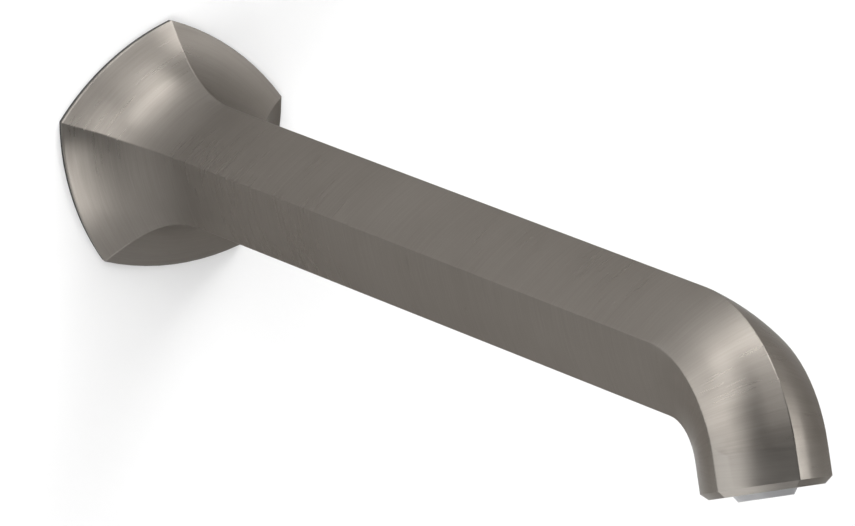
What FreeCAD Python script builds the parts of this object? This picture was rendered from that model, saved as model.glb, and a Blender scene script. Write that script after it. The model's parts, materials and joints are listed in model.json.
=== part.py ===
import FreeCAD, Part
import math
import os

os.makedirs("parts", exist_ok=True)

V = FreeCAD.Vector

# Frame: origin on the inlet axis in the wall plane, the spout runs along -Y, +Z is up.
# Lengths in millimetres. "Depth" always means the distance in front of the wall.

# Spout outside
SIDES = 5
FLANGE_R = 29.0         # corner radius of the five-cornered wall flange
FLANGE_BULGE = 2.6      # rise of each curved flange side above its chord
TUBE_R = 14.3           # corner radius of the straight five-sided run
TUBE_BULGE = 0.6        # rise of each slightly crowned face there
RIDGE_ROUND = 0.35      # rounding along the five ridges
RIM_BACK = 0.9          # depth of the flange's back face, in front of the gasket
RIM_FRONT = 1.3         # depth where the flange's square edge ends
RIM_BEVEL = 0.25        # small bevel on the front of that edge
FLARE_END = 32.4        # depth where the flare runs out into the straight
FLARE_POWER = 2.85      # how quickly the flare opens towards the wall
GASKET_INSET = 0.15     # how far the gasket's corners lie inside the flange's
STRAIGHT_END = 227.3    # depth where the nose starts to bend
BEND_R = 21.85          # centre line radius of the nose
BEND_ANGLE = 73.4       # degrees turned by the nose
TAIL = 8.15             # straight length after the bend, with the chamfer
TIP_CHAMFER = 1.4       # 45 degree chamfer round the outlet face

# Spout inside
RECESS_R = 23.5         # corner radius of the recess behind the flange, at the wall
RECESS_END_R = 15.5
RECESS_DEPTH = 13.0
BORE_R = 8.95           # bore over the adapter's collar and the waterway socket
CLIP_GROOVE_R = 9.9
CLIP_DEPTH = 30.1       # middle of the retaining ring
SOCKET_START = 31.0
SOCKET_SHOULDER = 59.0
STEP_R = 8.2            # step that stops the socket
STEP_END = 62.0
CAVITY_R = 10.85        # corner radius of the dry space round the tube
NOSE_BLOCK = 205.0      # depth where the solid nose starts
TUBE_END = 213.5
PASSAGE_R = 5.2         # curved water passage in the nose

# Inlet adapter
THREAD_R = 10.67        # half-inch pipe thread, outside radius
THREAD_LEN = 15.0       # reach behind the wall plane
HEX_ACROSS = 24.0
HEX_END = 4.8
COLLAR_R = 8.85
COLLAR_END = 27.0
SPIGOT_R = 7.45
SPIGOT_END = 51.5
ADAPTER_BORE_R = 4.7
ADAPTER_RINGS = (37.0, 44.0)
RING_GROOVE_R = 5.85

# Waterway
SOCKET_R = 8.9
SOCKET_IN_R = 7.5
TUBE_OUT_R = 6.35
TUBE_IN_R = 5.45
TUBE_START = 54.2
SPACERS = (100.0, 165.0)
SPACER_R = 8.1

# Set screw
SCREW_DEPTH = 22.0      # distance of the screw from the wall
SCREW_R = 2.0
SCREW_PITCH = 0.7
SCREW_HEX = 2.0
PAD_TOP = 8.87          # heights below the axis
SCREW_IN = 9.7
SCREW_OUT = 12.6

# Outlet, as heights above the outlet face
OUT_THREAD_R = 8.22
OUT_BORE_R = 8.3
OUT_PITCH = 1.0
CHAMBER = 11.0
HOUSING_TOP = 9.5
CONE_TOP_R = 7.55
CONE_END_R = 5.85
CONE_TOP = 1.5
CONE_END = -1.3

OUTLET_Y = -(STRAIGHT_END + TAIL)


def cyl(radius, depth0, depth1):
    """Round bar on the spout's axis between two depths."""
    return Part.makeCylinder(radius, depth1 - depth0, V(0, -depth0, 0), V(0, -1, 0))


def ring(outer, inner, depth0, depth1):
    return cyl(outer, depth0, depth1).cut(cyl(inner, depth0 - 1, depth1 + 1))


def o_ring(major, minor, depth):
    return Part.makeTorus(major, minor, V(0, -depth, 0), V(0, -1, 0))


def corner_point(radius, angle, depth):
    return V(radius * math.sin(angle), -depth, radius * math.cos(angle))


def section(radius, bulge, depth, rounding=RIDGE_ROUND):
    """Five-sided outline, one corner up, sides bowed out, corners rounded."""
    step = 2 * math.pi / SIDES
    half_chord = radius * math.sin(step / 2)
    apothem = radius * math.cos(step / 2)
    lean = 2 * math.atan2(bulge, half_chord)
    half_corner = math.pi / 2 - step / 2 + lean
    cut = rounding / math.tan(half_corner)
    centre = radius - rounding / math.sin(half_corner)
    edges = []
    for k in range(SIDES):
        up = k * step
        tip = corner_point(radius, up, depth)
        out = V(math.sin(up), 0, math.cos(up))
        side = V(math.cos(up), 0, -math.sin(up))
        into = out * (-cut * math.cos(half_corner))
        start = tip + into - side * (cut * math.sin(half_corner))
        end = tip + into + side * (cut * math.sin(half_corner))
        edges.append(Part.Arc(start, corner_point(centre + rounding, up, depth), end).toShape())
        nxt = up + step
        far = corner_point(radius, nxt, depth)
        far_out = V(math.sin(nxt), 0, math.cos(nxt))
        far_side = V(math.cos(nxt), 0, -math.sin(nxt))
        target = far - far_out * (cut * math.cos(half_corner)) - far_side * (cut * math.sin(half_corner))
        if bulge < 0.001:
            edges.append(Part.LineSegment(end, target).toShape())
        else:
            middle = corner_point(apothem + bulge, up + step / 2, depth)
            edges.append(Part.Arc(end, middle, target).toShape())
    return Part.Wire(edges)


def prism(radius, bulge, depth0, depth1, rounding=RIDGE_ROUND):
    face = Part.Face(section(radius, bulge, depth0, rounding))
    return face.extrude(V(0, depth0 - depth1, 0))


def flare_radius(depth):
    """Ridge distance from the axis: a concave curve that ends tangent to the straight."""
    rise = FLANGE_R - RIM_BEVEL - TUBE_R
    run = FLARE_END - RIM_FRONT - RIM_BEVEL
    return TUBE_R + rise * ((FLARE_END - depth) / run) ** FLARE_POWER


def flare_bulge(radius):
    share = (radius - TUBE_R) / (FLANGE_R - TUBE_R)
    return TUBE_BULGE + (FLANGE_BULGE - TUBE_BULGE) * share


def flare():
    """Flange and concave facets, down to just short of the straight run."""
    rim = section(FLANGE_R, FLANGE_BULGE, RIM_BACK)
    rim_front = section(FLANGE_R, FLANGE_BULGE, RIM_FRONT)
    bevel = section(FLANGE_R - RIM_BEVEL, flare_bulge(FLANGE_R - RIM_BEVEL), RIM_FRONT + RIM_BEVEL)
    edge = Part.makeLoft([rim, rim_front], True, True)
    nip = Part.makeLoft([rim_front, bevel], True, True)
    start = RIM_FRONT + RIM_BEVEL
    wires = []
    steps = 9
    for k in range(steps):
        depth = start + (FLARE_END - start) * (k / steps) ** 1.15
        radius = flare_radius(depth)
        wires.append(section(radius, flare_bulge(radius), depth))
    wires.append(section(TUBE_R, TUBE_BULGE, FLARE_END))
    body = Part.makeLoft(wires, True, False)
    return edge.fuse(nip).fuse(body)


def to_outlet(shape):
    """Swing a shape built on the straight axis round the nose bend."""
    turned = shape.copy()
    turned.rotate(V(0, -STRAIGHT_END, -BEND_R), V(1, 0, 0), BEND_ANGLE)
    return turned


def revolve_bend(face):
    return face.revolve(V(0, -STRAIGHT_END, -BEND_R), V(1, 0, 0), BEND_ANGLE)


def tail():
    end = STRAIGHT_END + TAIL
    run = prism(TUBE_R, TUBE_BULGE, STRAIGHT_END, end - TIP_CHAMFER)
    small = TUBE_R - TIP_CHAMFER / math.cos(math.pi / SIDES)
    wide = section(TUBE_R, TUBE_BULGE, end - TIP_CHAMFER)
    bevel = Part.makeLoft([wide, section(small, TUBE_BULGE, end)], True, True)
    return to_outlet(run.fuse(bevel))


def outlet_bar(radius, high, low):
    """Round bar on the outlet axis between two heights above the outlet face."""
    bar = Part.makeCylinder(radius, high - low, V(0, OUTLET_Y + high, 0), V(0, -1, 0))
    return to_outlet(bar)


def outlet_ring(outer, inner, high, low):
    return outlet_bar(outer, high, low).cut(outlet_bar(inner, high + 1, low - 1))


def water_passage():
    entry = cyl(PASSAGE_R, TUBE_END + 0.5, STRAIGHT_END)
    circle = Part.Circle(V(0, -STRAIGHT_END, 0), V(0, 1, 0), PASSAGE_R).toShape()
    curve = revolve_bend(Part.Face(Part.Wire([circle])))
    return entry.fuse(curve)


def spout_body():
    """One brass casting: flange, flare, straight run and turned-down nose."""
    straight = prism(TUBE_R, TUBE_BULGE, FLARE_END, STRAIGHT_END)
    nose = revolve_bend(Part.Face(section(TUBE_R, TUBE_BULGE, STRAIGHT_END)))
    body = flare().fuse(straight).fuse(nose).fuse(tail())
    recess = Part.makeLoft(
        [section(RECESS_R, 1.2, RIM_BACK - 0.5, 1.5), section(RECESS_END_R, 0.6, RECESS_DEPTH, 1.5)],
        True, True)
    body = body.cut(recess)
    body = body.cut(cyl(BORE_R, RECESS_DEPTH - 1, SOCKET_SHOULDER))
    body = body.cut(cyl(CLIP_GROOVE_R, CLIP_DEPTH - 0.6, CLIP_DEPTH + 0.6))
    body = body.cut(cyl(STEP_R, SOCKET_SHOULDER - 1, STEP_END + 1))
    body = body.cut(prism(CAVITY_R, 0.0, STEP_END, NOSE_BLOCK, 1.0))
    body = body.cut(cyl(TUBE_OUT_R + 0.05, NOSE_BLOCK - 1, TUBE_END + 0.5))
    body = body.cut(cyl(8.0, 208.0, 210.4))
    body = body.cut(water_passage())
    body = body.cut(outlet_bar(OUT_BORE_R, CHAMBER, -1.0))
    hole = Part.makeCylinder(SCREW_R + 0.05, 12.0, V(0, -SCREW_DEPTH, -BORE_R + 1), V(0, 0, -1))
    body = body.cut(hole)
    return body.removeSplitter()


def wall_gasket():
    """Thin five-cornered sealing ring that shows as a dark line behind the flange's edge."""
    outline = section(FLANGE_R - GASKET_INSET, FLANGE_BULGE, 0.0, 0.5)
    sheet = Part.Face(outline).extrude(V(0, -RIM_BACK, 0))
    window = Part.Face(section(RECESS_R + 0.8, 1.2, -1.0, 2.0)).extrude(V(0, -3.0, 0))
    return sheet.cut(window)


def hexagon(across, depth0, depth1):
    corner = across / math.sqrt(3)
    points = []
    for k in range(7):
        angle = math.radians(60 * k)
        points.append(V(corner * math.cos(angle), -depth0, corner * math.sin(angle)))
    return Part.Face(Part.makePolygon(points)).extrude(V(0, depth0 - depth1, 0))


def inlet_adapter():
    """Threaded tail into the wall, hexagon, set screw collar and sealed spigot."""
    thread = cyl(THREAD_R, -THREAD_LEN + 1.0, 1.0)
    lead = Part.makeCone(THREAD_R - 1.0, THREAD_R, 1.0, V(0, THREAD_LEN, 0), V(0, -1, 0))
    hexa = hexagon(HEX_ACROSS, 1.0, HEX_END)
    cone = Part.makeCone(HEX_ACROSS / 2 + 2.6, HEX_ACROSS / 2 - 0.2, 2.8, V(0, -2.6, 0), V(0, -1, 0))
    full = cyl(HEX_ACROSS, 0.0, 2.6).fuse(cone)
    hexa = hexa.common(full)
    collar = cyl(COLLAR_R, HEX_END, COLLAR_END)
    spigot = cyl(SPIGOT_R, COLLAR_END, SPIGOT_END - 1.0)
    nose = Part.makeCone(SPIGOT_R, SPIGOT_R - 0.8, 1.0, V(0, -SPIGOT_END + 1.0, 0), V(0, -1, 0))
    body = thread.fuse(lead).fuse(hexa).fuse(collar).fuse(spigot).fuse(nose)
    for depth in ADAPTER_RINGS:
        body = body.cut(ring(SPIGOT_R + 1, RING_GROOVE_R, depth - 1.15, depth + 1.15))
    body = body.cut(cyl(ADAPTER_BORE_R, -THREAD_LEN, SPIGOT_END + 1))
    body = body.cut(cyl(7.6, -THREAD_LEN - 1, -2.0))
    body = body.cut(Part.makeCone(7.6, ADAPTER_BORE_R, 2.4, V(0, 2.0, 0), V(0, -1, 0)))
    return body.removeSplitter()


def waterway_socket():
    """Sleeve that takes the adapter's spigot at the back and the tube at the front."""
    body = cyl(SOCKET_R, SOCKET_START, SOCKET_SHOULDER).fuse(cyl(7.9, SOCKET_SHOULDER, 65.0))
    body = body.cut(cyl(SOCKET_IN_R, SOCKET_START - 1, 52.2))
    body = body.cut(Part.makeCone(8.4, SOCKET_IN_R, 1.0, V(0, -SOCKET_START, 0), V(0, -1, 0)))
    body = body.cut(cyl(TUBE_IN_R, 52, 55))
    body = body.cut(cyl(TUBE_OUT_R + 0.05, 54, 66))
    body = body.cut(ring(11, 7.35, 54.4, 56.7))
    return body.removeSplitter()


def retaining_ring():
    """Open spring ring that holds the socket in its bore."""
    body = ring(9.8, 8.4, CLIP_DEPTH - 0.5, CLIP_DEPTH + 0.5)
    for sign in (-1, 1):
        ear = Part.makeCylinder(0.8, 1.0, V(sign * 2.2, -CLIP_DEPTH + 0.5, 8.5), V(0, -1, 0))
        body = body.fuse(ear)
    gap = Part.makeBox(2.8, 3.0, 4.0, V(-1.4, -CLIP_DEPTH - 1.5, 7.4))
    body = body.cut(gap)
    for sign in (-1, 1):
        eye = Part.makeCylinder(0.4, 3.0, V(sign * 2.2, -CLIP_DEPTH + 1.5, 8.5), V(0, -1, 0))
        body = body.cut(eye)
    return body.removeSplitter()


def tube_spacer(depth):
    """Plastic ring with five flutes that centres the tube in the five-sided space."""
    body = ring(SPACER_R, TUBE_OUT_R + 0.05, depth - 4, depth + 4)
    for k in range(SIDES):
        angle = k * 2 * math.pi / SIDES
        base = corner_point(9.3, angle, depth - 5)
        body = body.cut(Part.makeCylinder(2.0, 10, base, V(0, -1, 0)))
    return body


def set_screw():
    """Short grub screw with a hexagon socket, pointing up into the collar."""
    length = SCREW_OUT - SCREW_IN
    base = V(0, -SCREW_DEPTH, -SCREW_IN)
    body = Part.makeCylinder(SCREW_R - 0.4, length, base, V(0, 0, -1))
    count = int(length / SCREW_PITCH)
    for k in range(count):
        top = -SCREW_IN - 0.3 - k * SCREW_PITCH
        low = Part.makeCone(SCREW_R - 0.4, SCREW_R, 0.25, V(0, -SCREW_DEPTH, top + 0.15), V(0, 0, -1))
        flat = Part.makeCylinder(SCREW_R, 0.12, V(0, -SCREW_DEPTH, top - 0.1), V(0, 0, -1))
        high = Part.makeCone(SCREW_R, SCREW_R - 0.4, 0.25, V(0, -SCREW_DEPTH, top - 0.22), V(0, 0, -1))
        body = body.fuse(low).fuse(flat).fuse(high)
    corner = SCREW_HEX / math.sqrt(3)
    points = []
    for k in range(7):
        angle = math.radians(60 * k)
        points.append(V(corner * math.cos(angle), corner * math.sin(angle) - SCREW_DEPTH, -SCREW_OUT - 0.5))
    body = body.cut(Part.Face(Part.makePolygon(points)).extrude(V(0, 0, 2.1)))
    return body.removeSplitter()


def screw_pad():
    """Nylon tip that bears on the adapter's collar."""
    return Part.makeCylinder(1.5, SCREW_IN - PAD_TOP - 0.03, V(0, -SCREW_DEPTH, -PAD_TOP), V(0, 0, -1))


def outlet_profile(points):
    """Solid of revolution on the outlet axis from (radius, height) corners."""
    line = [V(r, OUTLET_Y + h, 0) for r, h in points]
    line.append(line[0])
    face = Part.Face(Part.makePolygon(line))
    return to_outlet(face.revolve(V(0, OUTLET_Y, 0), V(0, 1, 0), 360))


def aerator_housing():
    """Threaded cup with a short tapered mouth that shows below the outlet face."""
    points = [(6.25, HOUSING_TOP), (OUT_THREAD_R - 0.5, HOUSING_TOP)]
    for k in range(7):
        top = HOUSING_TOP - 0.25 - k * OUT_PITCH
        points.append((OUT_THREAD_R - 0.5, top))
        points.append((OUT_THREAD_R, top - 0.35))
        points.append((OUT_THREAD_R, top - 0.5))
        points.append((OUT_THREAD_R - 0.5, top - 0.85))
    points.append((OUT_THREAD_R - 0.5, CONE_TOP + 0.3))
    points.append((CONE_TOP_R, CONE_TOP))
    points.append((CONE_END_R, CONE_END + 0.15))
    points.append((CONE_END_R - 0.15, CONE_END))
    points.append((5.2, CONE_END))
    points.append((5.0, CONE_END + 0.3))
    points.append((5.0, 0.4))
    points.append((6.25, 0.4))
    body = outlet_profile(points)
    for k in range(4):
        angle = math.radians(45 + 90 * k)
        slot = Part.makeBox(1.0, 1.0, 0.85, V(-0.5, OUTLET_Y + CONE_END - 0.2, 4.6))
        slot.rotate(V(0, OUTLET_Y, 0), V(0, 1, 0), math.degrees(angle))
        body = body.cut(to_outlet(slot))
    return body


def grid_holes(shape, pitch, size, reach, high, low, turn):
    """Cut a square grid of square holes inside a round reach."""
    count = int(reach / pitch) + 1
    for i in range(-count, count + 1):
        for j in range(-count, count + 1):
            if math.hypot(i * pitch, j * pitch) + size * 0.71 > reach:
                continue
            start = V(i * pitch - size / 2, OUTLET_Y + low - 0.5, j * pitch - size / 2)
            hole = Part.makeBox(size, high - low + 1.0, size, start)
            hole.rotate(V(0, OUTLET_Y, 0), V(0, 1, 0), turn)
            shape = shape.cut(to_outlet(hole))
    return shape


def mesh_screen(high, turn):
    disc = outlet_bar(6.1, high, high - 0.3)
    return grid_holes(disc, 1.2, 0.85, 5.5, high, high - 0.3, turn)


def flow_straightener():
    """Honeycomb block that makes the stream run clear."""
    body = outlet_bar(6.1, 4.0, 0.5)
    pitch = 1.45
    for i in range(-4, 5):
        for j in range(-4, 5):
            x = pitch * (i + j / 2)
            z = pitch * j * math.sqrt(3) / 2
            if math.hypot(x, z) > 4.4:
                continue
            points = []
            for k in range(7):
                angle = math.radians(30 + 60 * k)
                points.append(V(x + 0.7 * math.cos(angle), OUTLET_Y, z + 0.7 * math.sin(angle)))
            cell = Part.Face(Part.makePolygon(points)).extrude(V(0, 5.0, 0))
            body = body.cut(to_outlet(cell))
    return body


def jet_plate():
    """Drilled plate that spreads the flow over the screens."""
    body = outlet_bar(6.1, 7.2, 5.8)
    for count, radius in ((6, 2.0), (12, 4.2)):
        for k in range(count):
            angle = 2 * math.pi * k / count
            base = V(radius * math.cos(angle), OUTLET_Y + 8.0, radius * math.sin(angle))
            body = body.cut(to_outlet(Part.makeCylinder(0.6, 4.0, base, V(0, -1, 0))))
    return body


shapes = {
    "spout_body": spout_body(),
    "wall_gasket": wall_gasket(),
    "inlet_adapter": inlet_adapter(),
    "adapter_seal_rear": o_ring(6.64, 0.76, ADAPTER_RINGS[0]),
    "adapter_seal_front": o_ring(6.64, 0.76, ADAPTER_RINGS[1]),
    "waterway_socket": waterway_socket(),
    "socket_seal": o_ring(8.12, 0.76, 55.55),
    "socket_retaining_ring": retaining_ring(),
    "waterway_tube": ring(TUBE_OUT_R, TUBE_IN_R, TUBE_START, TUBE_END),
    "tube_seal": o_ring(7.18, 0.8, 209.2),
    "tube_spacer_rear": tube_spacer(SPACERS[0]),
    "tube_spacer_front": tube_spacer(SPACERS[1]),
    "set_screw": set_screw(),
    "set_screw_pad": screw_pad(),
    "aerator_washer": outlet_ring(7.7, 5.4, 10.95, HOUSING_TOP + 0.05),
    "jet_plate": jet_plate(),
    "screen_upper": mesh_screen(5.7, 45),
    "screen_spacer": outlet_ring(6.1, 5.3, 5.35, 4.45),
    "screen_lower": mesh_screen(4.4, 0),
    "flow_straightener": flow_straightener(),
    "aerator_housing": aerator_housing(),
}

for name, shape in shapes.items():
    shape.exportStep("parts/" + name + ".step")
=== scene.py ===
import json
import math

import bpy
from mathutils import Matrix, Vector

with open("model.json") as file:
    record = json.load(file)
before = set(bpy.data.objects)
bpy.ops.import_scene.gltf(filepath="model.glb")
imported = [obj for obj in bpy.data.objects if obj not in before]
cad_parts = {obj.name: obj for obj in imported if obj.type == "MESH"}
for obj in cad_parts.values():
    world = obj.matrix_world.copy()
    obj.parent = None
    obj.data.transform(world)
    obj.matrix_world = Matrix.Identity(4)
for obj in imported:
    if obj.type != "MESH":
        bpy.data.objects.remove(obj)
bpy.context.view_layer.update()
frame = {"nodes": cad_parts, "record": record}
NODES = frame["nodes"]

# The spout's axis, in metres
BEND_START = 0.2273     # from the wall to where the run starts to turn down
BEND_R = 0.02185        # radius of the turn, whose centre lies this far under the run's axis
LEAST_UP = 0.0005       # least height over that centre, so that the turn's angle stays defined

# The coated finish of the spout
FINISH_DARK = (0.134, 0.122, 0.109)
FINISH_LIGHT = (0.167, 0.154, 0.139)
# A lighter colour painted on ridges and edges as a highlight
FINISH_EDGE_HIGHLIGHT = (0.255, 0.244, 0.225)
FINISH_TINT = (0.55, 0.53, 0.51, 1.0)
FINISH_ROUGH = (0.26, 0.33)
FINISH_GRAIN = 0.8      # how far the brushing stretches highlights
# How much of the painted edge highlight is laid over the finish
EDGE_HIGHLIGHT_SHARE = 0.35
EDGE_POINTINESS = (0.51, 0.55)  # where the painted edge highlight starts and where it is full; a flat has 0.5
HAIRLINE = (26.0, 0.55)  # scratch density along the spout and across it
BANDING = (9.0, 0.5)    # the same for the broad bands between scratches

# Grain and relief
NOISE_SPAN = (0.3, 0.7)  # most of a noise's values
BRUSHED_RELIEF = (0.025, 0.0001)  # a bump's strength, and its depth in metres
LATHE_RELIEF = (0.18, 0.0002)
MOULD_RELIEF = 0.25     # the strength alone; each plastic has its own depth
LATHE_STRETCH = 0.03    # across the rings, against 1 along the axis
LATHE_SHEEN = (0.05, 0.08)  # how far roughness varies below and above its middle
MOULD_SHEEN = 0.06
CLOUD_SHARE = 0.04      # scale of a plastic's cloudiness against its grain


# ---------------------------------------------------------------- node helpers

class Graph:
    """One material's node tree."""

    def __init__(self, name):
        self.mat = bpy.data.materials.new(name)
        self.mat.use_nodes = True
        self.tree = self.mat.node_tree
        self.tree.nodes.clear()
        self.out = self.node("ShaderNodeOutputMaterial")

    def node(self, kind, **props):
        n = self.tree.nodes.new(kind)
        for key, value in props.items():
            setattr(n, key, value)
        return n

    def link(self, a, b):
        self.tree.links.new(a, b)

    def feed(self, socket, value):
        """A link from a socket, or a plain number or colour."""
        if isinstance(value, bpy.types.NodeSocket):
            self.link(value, socket)
        else:
            socket.default_value = value

    def math(self, op, *values):
        n = self.node("ShaderNodeMath", operation=op)
        for i, value in enumerate(values):
            self.feed(n.inputs[i], value)
        return n.outputs[0]

    def scaled(self, value, factor):
        return self.math("MULTIPLY", value, factor)

    def blend(self, a, share, b):
        """a by its share, plus b by the rest."""
        return self.math("ADD", self.scaled(a, share), self.scaled(b, 1.0 - share))

    def xyz(self, vector):
        n = self.node("ShaderNodeSeparateXYZ")
        self.link(vector, n.inputs[0])
        return n.outputs

    def vec(self, *axes):
        n = self.node("ShaderNodeCombineXYZ")
        for i, value in enumerate(axes):
            self.feed(n.inputs[i], value)
        return n.outputs[0]

    def noise(self, vector, scale, detail, rough):
        n = self.node("ShaderNodeTexNoise")
        self.link(vector, n.inputs["Vector"])
        n.inputs["Scale"].default_value = scale
        n.inputs["Detail"].default_value = detail
        n.inputs["Roughness"].default_value = rough
        return n.outputs["Fac"]

    def remap(self, value, a, b, c, d):
        n = self.node("ShaderNodeMapRange")
        self.feed(n.inputs["Value"], value)
        for key, num in (("From Min", a), ("From Max", b), ("To Min", c), ("To Max", d)):
            n.inputs[key].default_value = num
        return n.outputs["Result"]

    def widened(self, noise, low=0.0, high=1.0):
        """The span of most of a noise's values, stretched to low..high."""
        return self.remap(noise, *NOISE_SPAN, low, high)

    def mix(self, fac, a, b):
        n = self.node("ShaderNodeMix", data_type="RGBA")
        self.feed(n.inputs[0], fac)
        for socket, colour in ((n.inputs[6], a), (n.inputs[7], b)):
            if isinstance(colour, tuple):
                colour = (*colour, 1.0)
            self.feed(socket, colour)
        return n.outputs[2]

    def bump(self, height, strength, distance):
        n = self.node("ShaderNodeBump")
        n.inputs["Strength"].default_value = strength
        n.inputs["Distance"].default_value = distance
        self.link(height, n.inputs["Height"])
        return n.outputs["Normal"]

    def shader(self, colour, rough, metallic, normal, **sockets):
        n = self.node("ShaderNodeBsdfPrincipled")
        self.link(colour, n.inputs["Base Color"])
        self.link(rough, n.inputs["Roughness"])
        n.inputs["Metallic"].default_value = metallic
        self.link(normal, n.inputs["Normal"])
        for key, value in sockets.items():
            self.feed(n.inputs[key.replace("_", " ")], value)
        self.link(n.outputs[0], self.out.inputs["Surface"])

    def place(self):
        return self.node("ShaderNodeTexCoord").outputs["Object"]


def edge_highlight(g):
    """Mask of the painted edge highlight: 0 on flats to 1 on outer edges."""
    point = g.node("ShaderNodeNewGeometry").outputs["Pointiness"]
    return g.remap(point, *EDGE_POINTINESS, 0.0, 1.0)


# ---------------------------------------------------------------- materials

def spout_metal():
    """Warm grey coated metal, brushed across the spout's length, with a painted highlight on its ridges and
    edges.
    """
    g = Graph("spout_brushed")
    place = g.place()
    x, y, z = g.xyz(place)

    # Distance along the spout's axis, which turns down at the bend, and distance from the bend's centre
    ahead = g.math("SUBTRACT", g.scaled(y, -1.0), BEND_START)
    ahead_in = g.math("MAXIMUM", ahead, 0.0)
    up = g.math("ADD", z, BEND_R)
    turn = g.math("ARCTAN2", ahead_in, g.math("MAXIMUM", up, LEAST_UP))
    along = g.math("ADD", g.math("MINIMUM", ahead, 0.0), g.scaled(turn, BEND_R))
    radial = g.math("SQRT", g.math("ADD", g.math("MULTIPLY", up, up),
                                   g.math("MULTIPLY", ahead_in, ahead_in)))

    def streaks(dense, sparse):
        return g.vec(g.scaled(along, dense), g.scaled(x, sparse), g.scaled(radial, sparse))

    scratch = g.noise(streaks(*HAIRLINE), scale=120.0, detail=3.0, rough=0.6)
    band = g.noise(streaks(*BANDING), scale=180.0, detail=2.0, rough=0.5)
    cloud = g.noise(place, scale=30.0, detail=2.0, rough=0.5)
    normal = g.bump(g.blend(scratch, 0.7, band), *BRUSHED_RELIEF)

    colour = g.mix(g.widened(g.blend(scratch, 0.6, cloud)), FINISH_DARK, FINISH_LIGHT)
    # Painted highlight: ridges and edges lightened towards the highlight colour
    colour = g.mix(g.scaled(edge_highlight(g), EDGE_HIGHLIGHT_SHARE), colour, FINISH_EDGE_HIGHLIGHT)
    rough = g.widened(g.blend(band, 0.5, cloud), *FINISH_ROUGH)

    # The brushing turns with the spout
    axial = g.vec(0.0, g.math("COSINE", turn), g.math("SINE", turn))
    turned = g.node("ShaderNodeVectorTransform", vector_type="VECTOR",
                    convert_from="OBJECT", convert_to="WORLD")
    g.link(axial, turned.inputs[0])
    g.shader(colour, rough, 1.0, normal, Anisotropic=FINISH_GRAIN,
             Specular_Tint=FINISH_TINT, Tangent=turned.outputs[0])
    return g.mat


def turned_metal(name, dark, light, rough, lines=1500.0):
    """Lathe-turned metal with fine rings round the Y axis."""
    g = Graph(name)
    place = g.place()
    x, y, z = g.xyz(place)
    rings = g.vec(y, g.scaled(x, LATHE_STRETCH), g.scaled(z, LATHE_STRETCH))
    lathe = g.noise(rings, scale=lines, detail=3.0, rough=0.6)
    cloud = g.noise(place, scale=60.0, detail=3.0, rough=0.55)
    colour = g.mix(g.widened(cloud), dark, light)
    shade = g.widened(g.blend(lathe, 0.6, cloud), rough - LATHE_SHEEN[0], rough + LATHE_SHEEN[1])
    g.shader(colour, shade, 1.0, g.bump(lathe, *LATHE_RELIEF))
    return g.mat


def moulded(name, dark, light, rough, grain, depth):
    """Moulded plastic or rubber with a fine grain."""
    g = Graph(name)
    place = g.place()
    spots = g.noise(place, scale=grain, detail=4.0, rough=0.6)
    cloud = g.noise(place, scale=grain * CLOUD_SHARE, detail=2.0, rough=0.5)
    colour = g.mix(g.widened(cloud), dark, light)
    shade = g.widened(spots, rough - MOULD_SHEEN, rough + MOULD_SHEEN)
    g.shader(colour, shade, 0.0, g.bump(spots, MOULD_RELIEF, depth))
    return g.mat


MATERIALS = {
    "spout_finish": spout_metal(),
    "raw_brass": turned_metal("machined_brass", (0.55, 0.36, 0.13), (0.66, 0.46, 0.19), rough=0.26),
    "copper_tube": turned_metal("drawn_copper", (0.55, 0.24, 0.13), (0.68, 0.33, 0.19),
                                rough=0.3, lines=600.0),
    "stainless": turned_metal("stainless", (0.42, 0.42, 0.41), (0.55, 0.55, 0.54),
                              rough=0.28, lines=2500.0),
    "black_rubber": moulded("seal_rubber", (0.012, 0.012, 0.013), (0.022, 0.022, 0.023),
                            rough=0.5, grain=3000.0, depth=0.00003),
    "foam_rubber": moulded("foam_gasket", (0.012, 0.012, 0.012), (0.03, 0.03, 0.03),
                           rough=0.85, grain=1800.0, depth=0.00012),
    "spacer_plastic": moulded("spacer_acetal", (0.62, 0.61, 0.57), (0.72, 0.71, 0.67),
                              rough=0.42, grain=1500.0, depth=0.00002),
    "pad_plastic": moulded("pad_nylon", (0.66, 0.64, 0.57), (0.74, 0.72, 0.65),
                           rough=0.45, grain=1500.0, depth=0.00002),
    "insert_plastic": moulded("outlet_acetal", (0.28, 0.28, 0.285), (0.33, 0.33, 0.335),
                              rough=0.34, grain=1800.0, depth=0.00002),
    "core_plastic": moulded("core_acetal", (0.44, 0.45, 0.46), (0.52, 0.53, 0.54),
                            rough=0.4, grain=1800.0, depth=0.00002),
}

SLOTS = {s["node"]: s["material_slot"] for s in frame["record"]["subparts"]}
for name, obj in NODES.items():
    obj.data.materials.clear()
    obj.data.materials.append(MATERIALS[SLOTS[name]])


# ---------------------------------------------------------------- stage, light and camera

WIDE = 3.0              # the stage, in metres
FLOOR = -0.75
WALL_TOP = 2.2
WALL_SHADE = 0.93
FLOOR_SHADE = 0.62

SUBJECT = Vector((0.0, -0.13, 0.0))
LIGHT_REACH = 1.6       # metres from the subject to each softbox
BRIGHTNESS = 9.3        # watts per square metre of a softbox at strength 1
AMBIENT = 0.165

CAMERA_AZIMUTH = -29.905  # degrees, from square on to the wall
CAMERA_HEIGHT = 12.944
CAMERA_ORIGIN = Vector((0.0, -0.0005, 0.0))
CAMERA_OFFSET = (0.0566573, -0.0252445, 2.374143)  # metres right, up and back from there
SENSOR = 36.0           # mm
LENS = 453.301          # mm
FAR_LIMIT = 50.0


def sheet_mesh(name, corners, material):
    """One flat sheet of the stage, facing the part."""
    mesh = bpy.data.meshes.new(name)
    mesh.from_pydata(corners, [], [(0, 1, 2, 3)])
    obj = bpy.data.objects.new(name, mesh)
    bpy.context.scene.collection.objects.link(obj)
    mesh.materials.append(material)


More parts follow.
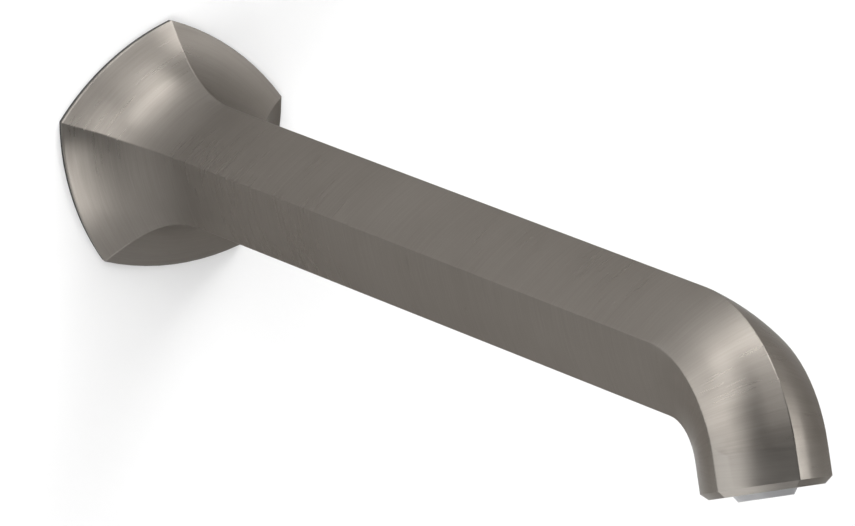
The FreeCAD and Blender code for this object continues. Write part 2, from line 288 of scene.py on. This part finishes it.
def stage_paint(name, shade):
    """Matt on the side that faces the part and clear from behind, so any side of it can be seen."""
    g = Graph(name)
    matt = g.node("ShaderNodeBsdfDiffuse")
    matt.inputs["Color"].default_value = (shade, shade, shade, 1.0)
    clear = g.node("ShaderNodeBsdfTransparent")
    pick = g.node("ShaderNodeMixShader")
    g.link(g.node("ShaderNodeNewGeometry").outputs["Backfacing"], pick.inputs[0])
    g.link(matt.outputs[0], pick.inputs[1])
    g.link(clear.outputs[0], pick.inputs[2])
    g.link(pick.outputs[0], g.out.inputs["Surface"])
    return g.mat


def softbox(name, azimuth, height, wide, tall, strength, reach=LIGHT_REACH):
    """Flat soft light, placed and sized in degrees as the subject sees it; azimuth 0 faces the wall."""
    az = math.radians(azimuth)
    el = math.radians(height)
    out = Vector((math.sin(az) * math.cos(el), -math.cos(az) * math.cos(el), math.sin(el)))
    light = bpy.data.lights.new(name, "AREA")
    light.shape = "RECTANGLE"
    light.size = 2.0 * reach * math.cos(el) * math.tan(math.radians(wide / 2))
    light.size_y = 2.0 * reach * math.tan(math.radians(tall / 2))
    light.energy = BRIGHTNESS * strength * light.size * light.size_y
    obj = bpy.data.objects.new(name, light)
    obj.location = SUBJECT + out * reach
    obj.visible_camera = False
    obj.rotation_euler = (-out).to_track_quat("-Z", "Y").to_euler()
    bpy.context.scene.collection.objects.link(obj)


def camera():
    """A long lens that sees the spout from its left front, slightly above."""
    azimuth = math.radians(CAMERA_AZIMUTH)
    height = math.radians(CAMERA_HEIGHT)
    right = Vector((math.cos(azimuth), math.sin(azimuth), 0.0))
    back = Vector((math.sin(azimuth) * math.cos(height), -math.cos(azimuth) * math.cos(height),
                   math.sin(height)))
    up = back.cross(right)
    data = bpy.data.cameras.new("camera")
    data.sensor_width = SENSOR
    data.lens = LENS
    data.clip_end = FAR_LIMIT
    obj = bpy.data.objects.new("camera", data)
    obj.location = CAMERA_ORIGIN + right * CAMERA_OFFSET[0] + up * CAMERA_OFFSET[1] + back * CAMERA_OFFSET[2]
    obj.rotation_euler = (-back).to_track_quat("-Z", "Y").to_euler()
    bpy.context.scene.collection.objects.link(obj)
    bpy.context.scene.camera = obj


sheet_mesh("stage_wall", [(-WIDE, 0.0, FLOOR), (WIDE, 0.0, FLOOR), (WIDE, 0.0, WALL_TOP),
                          (-WIDE, 0.0, WALL_TOP)], stage_paint("stage_wall", WALL_SHADE))
sheet_mesh("stage_floor", [(-WIDE, -WIDE, FLOOR), (WIDE, -WIDE, FLOOR), (WIDE, WIDE, FLOOR),
                           (-WIDE, WIDE, FLOOR)], stage_paint("stage_floor", FLOOR_SHADE))

softbox("wash_left_high", -88, 68, 12, 24, 7.5)
softbox("wash_left", -88, 24, 12, 60, 1.8)
softbox("key_left", -62, 40, 16, 28, 2.0)
softbox("strip_left", -49, 15, 12, 24, 1.3)
softbox("low_left", -46, -32, 30, 24, 1.7, 1.05)
softbox("front", -28, 40, 24, 28, 0.6)
softbox("overhead_left", -25, 66, 66, 24, 0.9)
softbox("overhead_right", 45, 66, 66, 24, 3.8)
softbox("wash_right", 85, 20, 12, 54, 1.8)
softbox("ridge_strip", 25, 10, 8, 30, 0.9)
softbox("under", -20, -75, 40, 40, 0.7, 0.6)
softbox("back_left", -150, 25, 40, 40, 2.0)
softbox("back_right", 150, 25, 40, 40, 2.0)

world = bpy.data.worlds.new("studio")
world.use_nodes = True
background = world.node_tree.nodes["Background"]
background.inputs[0].default_value = (1.0, 1.0, 1.0, 1.0)
background.inputs[1].default_value = AMBIENT
bpy.context.scene.world = world
bpy.context.scene.view_settings.view_transform = "Standard"
camera()
